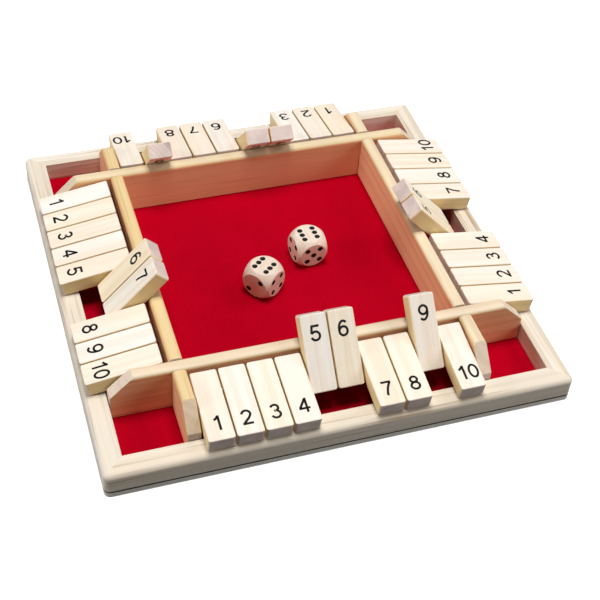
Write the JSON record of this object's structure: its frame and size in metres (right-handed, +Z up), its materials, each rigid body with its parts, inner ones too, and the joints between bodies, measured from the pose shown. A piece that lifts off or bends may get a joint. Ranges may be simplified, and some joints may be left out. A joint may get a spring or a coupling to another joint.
{
  "type": "shut the box game",
  "caption": "Square wooden board game tray with a row of numbered flip tiles pivoting on a steel rod along each side, a felt-lined dice tray and dice.",
  "frame": {"origin": "centre of the board's underside, on the surface it stands on", "axes": "+X to the right along the front edge, +Y away from the front, +Z up"},
  "size_m": [0.22, 0.22, 0.0439],
  "materials": {
    "pine_frame": "planed pale pine, sanded, clear satin lacquer",
    "pine_rail": "planed pine, slightly yellower, sanded",
    "pine_tile": "planed cream-white pine, edges rounded by tumbling",
    "birch_ply_base": "thin birch plywood, sawn edges",
    "red_felt": "pressed wool-like felt, bright red",
    "steel_rod": "drawn steel wire, bright",
    "beech_die": "turned pale beech, lightly waxed",
    "black_print": "matt black printing ink and pip paint"
  },
  "bodies": {
    "board": {"base_panel": "birch_ply_base", "felt_mat": "red_felt", "front_frame_rail": "pine_frame", "right_frame_rail": "pine_frame", "back_frame_rail": "pine_frame", "left_frame_rail": "pine_frame", "front_inner_rail": "pine_rail", "right_inner_rail": "pine_rail", "back_inner_rail": "pine_rail", "left_inner_rail": "pine_rail", "front_pivot_rod": "steel_rod", "right_pivot_rod": "steel_rod", "back_pivot_rod": "steel_rod", "left_pivot_rod": "steel_rod"},
    "front_tile_1": {"front_tile_1": "pine_tile"},
    "front_tile_2": {"front_tile_2": "pine_tile"},
    "front_tile_3": {"front_tile_3": "pine_tile"},
    "front_tile_4": {"front_tile_4": "pine_tile"},
    "front_tile_5": {"front_tile_5": "pine_tile"},
    "front_tile_6": {"front_tile_6": "pine_tile"},
    "front_tile_7": {"front_tile_7": "pine_tile"},
    "front_tile_8": {"front_tile_8": "pine_tile"},
    "front_tile_9": {"front_tile_9": "pine_tile"},
    "front_tile_10": {"front_tile_10": "pine_tile"},
    "right_tile_1": {"right_tile_1": "pine_tile"},
    "right_tile_2": {"right_tile_2": "pine_tile"},
    "right_tile_3": {"right_tile_3": "pine_tile"},
    "right_tile_4": {"right_tile_4": "pine_tile"},
    "right_tile_5": {"right_tile_5": "pine_tile"},
    "right_tile_6": {"right_tile_6": "pine_tile"},
    "right_tile_7": {"right_tile_7": "pine_tile"},
    "right_tile_8": {"right_tile_8": "pine_tile"},
    "right_tile_9": {"right_tile_9": "pine_tile"},
    "right_tile_10": {"right_tile_10": "pine_tile"},
    "back_tile_1": {"back_tile_1": "pine_tile"},
    "back_tile_2": {"back_tile_2": "pine_tile"},
    "back_tile_3": {"back_tile_3": "pine_tile"},
    "back_tile_4": {"back_tile_4": "pine_tile"},
    "back_tile_5": {"back_tile_5": "pine_tile"},
    "back_tile_6": {"back_tile_6": "pine_tile"},
    "back_tile_7": {"back_tile_7": "pine_tile"},
    "back_tile_8": {"back_tile_8": "pine_tile"},
    "back_tile_9": {"back_tile_9": "pine_tile"},
    "back_tile_10": {"back_tile_10": "pine_tile"},
    "left_tile_1": {"left_tile_1": "pine_tile"},
    "left_tile_2": {"left_tile_2": "pine_tile"},
    "left_tile_3": {"left_tile_3": "pine_tile"},
    "left_tile_4": {"left_tile_4": "pine_tile"},
    "left_tile_5": {"left_tile_5": "pine_tile"},
    "left_tile_6": {"left_tile_6": "pine_tile"},
    "left_tile_7": {"left_tile_7": "pine_tile"},
    "left_tile_8": {"left_tile_8": "pine_tile"},
    "left_tile_9": {"left_tile_9": "pine_tile"},
    "left_tile_10": {"left_tile_10": "pine_tile"},
    "left_die": {"left_die": "beech_die"},
    "right_die": {"right_die": "beech_die"}
  },
  "joints": [
    {"name": "front_tile_1_pivot", "type": "hinge", "parent": "board", "child": "front_tile_1", "pos_m": [-0.05828, -0.0823, 0.0223], "axis": [-1, 0, 0], "range_deg": [0, 142.1]},
    {"name": "front_tile_2_pivot", "type": "hinge", "parent": "board", "child": "front_tile_2", "pos_m": [-0.04532, -0.0823, 0.0223], "axis": [-1, 0, 0], "range_deg": [0, 142.1]},
    {"name": "front_tile_3_pivot", "type": "hinge", "parent": "board", "child": "front_tile_3", "pos_m": [-0.03238, -0.0823, 0.0223], "axis": [-1, 0, 0], "range_deg": [0, 142.1]},
    {"name": "front_tile_4_pivot", "type": "hinge", "parent": "board", "child": "front_tile_4", "pos_m": [-0.01943, -0.0823, 0.0223], "axis": [-1, 0, 0], "range_deg": [0, 142.1]},
    {"name": "front_tile_5_pivot", "type": "hinge", "parent": "board", "child": "front_tile_5", "pos_m": [-0.00647, -0.0823, 0.0223], "axis": [-1, 0, 0], "range_deg": [-142.1, 0]},
    {"name": "front_tile_6_pivot", "type": "hinge", "parent": "board", "child": "front_tile_6", "pos_m": [0.00647, -0.0823, 0.0223], "axis": [-1, 0, 0], "range_deg": [-142.1, 0]},
    {"name": "front_tile_7_pivot", "type": "hinge", "parent": "board", "child": "front_tile_7", "pos_m": [0.01943, -0.0823, 0.0223], "axis": [-1, 0, 0], "range_deg": [0, 142.1]},
    {"name": "front_tile_8_pivot", "type": "hinge", "parent": "board", "child": "front_tile_8", "pos_m": [0.03238, -0.0823, 0.0223], "axis": [-1, 0, 0], "range_deg": [0, 142.1]},
    {"name": "front_tile_9_pivot", "type": "hinge", "parent": "board", "child": "front_tile_9", "pos_m": [0.04532, -0.0823, 0.0223], "axis": [-1, 0, 0], "range_deg": [-142.1, 0]},
    {"name": "front_tile_10_pivot", "type": "hinge", "parent": "board", "child": "front_tile_10", "pos_m": [0.05828, -0.0823, 0.0223], "axis": [1, 0, 0], "range_deg": [-142.1, 0]},
    {"name": "right_tile_1_pivot", "type": "hinge", "parent": "board", "child": "right_tile_1", "pos_m": [0.0823, -0.05828, 0.0223], "axis": [0, -1, 0], "range_deg": [0, 142.1]},
    {"name": "right_tile_2_pivot", "type": "hinge", "parent": "board", "child": "right_tile_2", "pos_m": [0.0823, -0.04532, 0.0223], "axis": [0, -1, 0], "range_deg": [0, 142.1]},
    {"name": "right_tile_3_pivot", "type": "hinge", "parent": "board", "child": "right_tile_3", "pos_m": [0.0823, -0.03238, 0.0223], "axis": [0, -1, 0], "range_deg": [0, 142.1]},
    {"name": "right_tile_4_pivot", "type": "hinge", "parent": "board", "child": "right_tile_4", "pos_m": [0.0823, -0.01943, 0.0223], "axis": [0, -1, 0], "range_deg": [0, 142.1]},
    {"name": "right_tile_5_pivot", "type": "hinge", "parent": "board", "child": "right_tile_5", "pos_m": [0.0823, -0.00647, 0.0223], "axis": [0, -1, 0], "range_deg": [-142.1, 0]},
    {"name": "right_tile_6_pivot", "type": "hinge", "parent": "board", "child": "right_tile_6", "pos_m": [0.0823, 0.00647, 0.0223], "axis": [0, -1, 0], "range_deg": [-142.1, 0]},
    {"name": "right_tile_7_pivot", "type": "hinge", "parent": "board", "child": "right_tile_7", "pos_m": [0.0823, 0.01943, 0.0223], "axis": [0, -1, 0], "range_deg": [0, 142.1]},
    {"name": "right_tile_8_pivot", "type": "hinge", "parent": "board", "child": "right_tile_8", "pos_m": [0.0823, 0.03238, 0.0223], "axis": [0, -1, 0], "range_deg": [0, 142.1]},
    {"name": "right_tile_9_pivot", "type": "hinge", "parent": "board", "child": "right_tile_9", "pos_m": [0.0823, 0.04532, 0.0223], "axis": [0, -1, 0], "range_deg": [0, 142.1]},
    {"name": "right_tile_10_pivot", "type": "hinge", "parent": "board", "child": "right_tile_10", "pos_m": [0.0823, 0.05828, 0.0223], "axis": [0, 1, 0], "range_deg": [-142.1, 0]},
    {"name": "back_tile_1_pivot", "type": "hinge", "parent": "board", "child": "back_tile_1", "pos_m": [0.05828, 0.0823, 0.0223], "axis": [1, 0, 0], "range_deg": [0, 142.1]},
    {"name": "back_tile_2_pivot", "type": "hinge", "parent": "board", "child": "back_tile_2", "pos_m": [0.04532, 0.0823, 0.0223], "axis": [1, 0, 0], "range_deg": [0, 142.1]},
    {"name": "back_tile_3_pivot", "type": "hinge", "parent": "board", "child": "back_tile_3", "pos_m": [0.03238, 0.0823, 0.0223], "axis": [1, 0, 0], "range_deg": [0, 142.1]},
    {"name": "back_tile_4_pivot", "type": "hinge", "parent": "board", "child": "back_tile_4", "pos_m": [0.01943, 0.0823, 0.0223], "axis": [1, 0, 0], "range_deg": [-142.1, 0]},
    {"name": "back_tile_5_pivot", "type": "hinge", "parent": "board", "child": "back_tile_5", "pos_m": [0.00647, 0.0823, 0.0223], "axis": [1, 0, 0], "range_deg": [-142.1, 0]},
    {"name": "back_tile_6_pivot", "type": "hinge", "parent": "board", "child": "back_tile_6", "pos_m": [-0.00647, 0.0823, 0.0223], "axis": [1, 0, 0], "range_deg": [0, 142.1]},
    {"name": "back_tile_7_pivot", "type": "hinge", "parent": "board", "child": "back_tile_7", "pos_m": [-0.01943, 0.0823, 0.0223], "axis": [1, 0, 0], "range_deg": [0, 142.1]},
    {"name": "back_tile_8_pivot", "type": "hinge", "parent": "board", "child": "back_tile_8", "pos_m": [-0.03238, 0.0823, 0.0223], "axis": [1, 0, 0], "range_deg": [0, 142.1]},
    {"name": "back_tile_9_pivot", "type": "hinge", "parent": "board", "child": "back_tile_9", "pos_m": [-0.04532, 0.0823, 0.0223], "axis": [1, 0, 0], "range_deg": [-142.1, 0]},
    {"name": "back_tile_10_pivot", "type": "hinge", "parent": "board", "child": "back_tile_10", "pos_m": [-0.05828, 0.0823, 0.0223], "axis": [-1, 0, 0], "range_deg": [-142.1, 0]},
    {"name": "left_tile_1_pivot", "type": "hinge", "parent": "board", "child": "left_tile_1", "pos_m": [-0.0823, 0.05828, 0.0223], "axis": [0, 1, 0], "range_deg": [0, 142.1]},
    {"name": "left_tile_2_pivot", "type": "hinge", "parent": "board", "child": "left_tile_2", "pos_m": [-0.0823, 0.04532, 0.0223], "axis": [0, 1, 0], "range_deg": [0, 142.1]},
    {"name": "left_tile_3_pivot", "type": "hinge", "parent": "board", "child": "left_tile_3", "pos_m": [-0.0823, 0.03238, 0.0223], "axis": [0, 1, 0], "range_deg": [0, 142.1]},
    {"name": "left_tile_4_pivot", "type": "hinge", "parent": "board", "child": "left_tile_4", "pos_m": [-0.0823, 0.01943, 0.0223], "axis": [0, 1, 0], "range_deg": [0, 142.1]},
    {"name": "left_tile_5_pivot", "type": "hinge", "parent": "board", "child": "left_tile_5", "pos_m": [-0.0823, 0.00647, 0.0223], "axis": [0, 1, 0], "range_deg": [0, 142.1]},
    {"name": "left_tile_6_pivot", "type": "hinge", "parent": "board", "child": "left_tile_6", "pos_m": [-0.0823, -0.00647, 0.0223], "axis": [0, 1, 0], "range_deg": [-142.1, 0]},
    {"name": "left_tile_7_pivot", "type": "hinge", "parent": "board", "child": "left_tile_7", "pos_m": [-0.0823, -0.01943, 0.0223], "axis": [0, 1, 0], "range_deg": [-142.1, 0]},
    {"name": "left_tile_8_pivot", "type": "hinge", "parent": "board", "child": "left_tile_8", "pos_m": [-0.0823, -0.03238, 0.0223], "axis": [0, 1, 0], "range_deg": [0, 142.1]},
    {"name": "left_tile_9_pivot", "type": "hinge", "parent": "board", "child": "left_tile_9", "pos_m": [-0.0823, -0.04532, 0.0223], "axis": [0, 1, 0], "range_deg": [0, 142.1]},
    {"name": "left_tile_10_pivot", "type": "hinge", "parent": "board", "child": "left_tile_10", "pos_m": [-0.0823, -0.05828, 0.0223], "axis": [0, -1, 0], "range_deg": [-142.1, 0]},
    {"name": "left_die_lift", "type": "slide", "parent": "board", "child": "left_die", "axis": [0, 0, 1], "range_m": [0, 0.06]},
    {"name": "right_die_lift", "type": "slide", "parent": "board", "child": "right_die", "axis": [0, 0, 1], "range_m": [0, 0.06]}
  ]
}
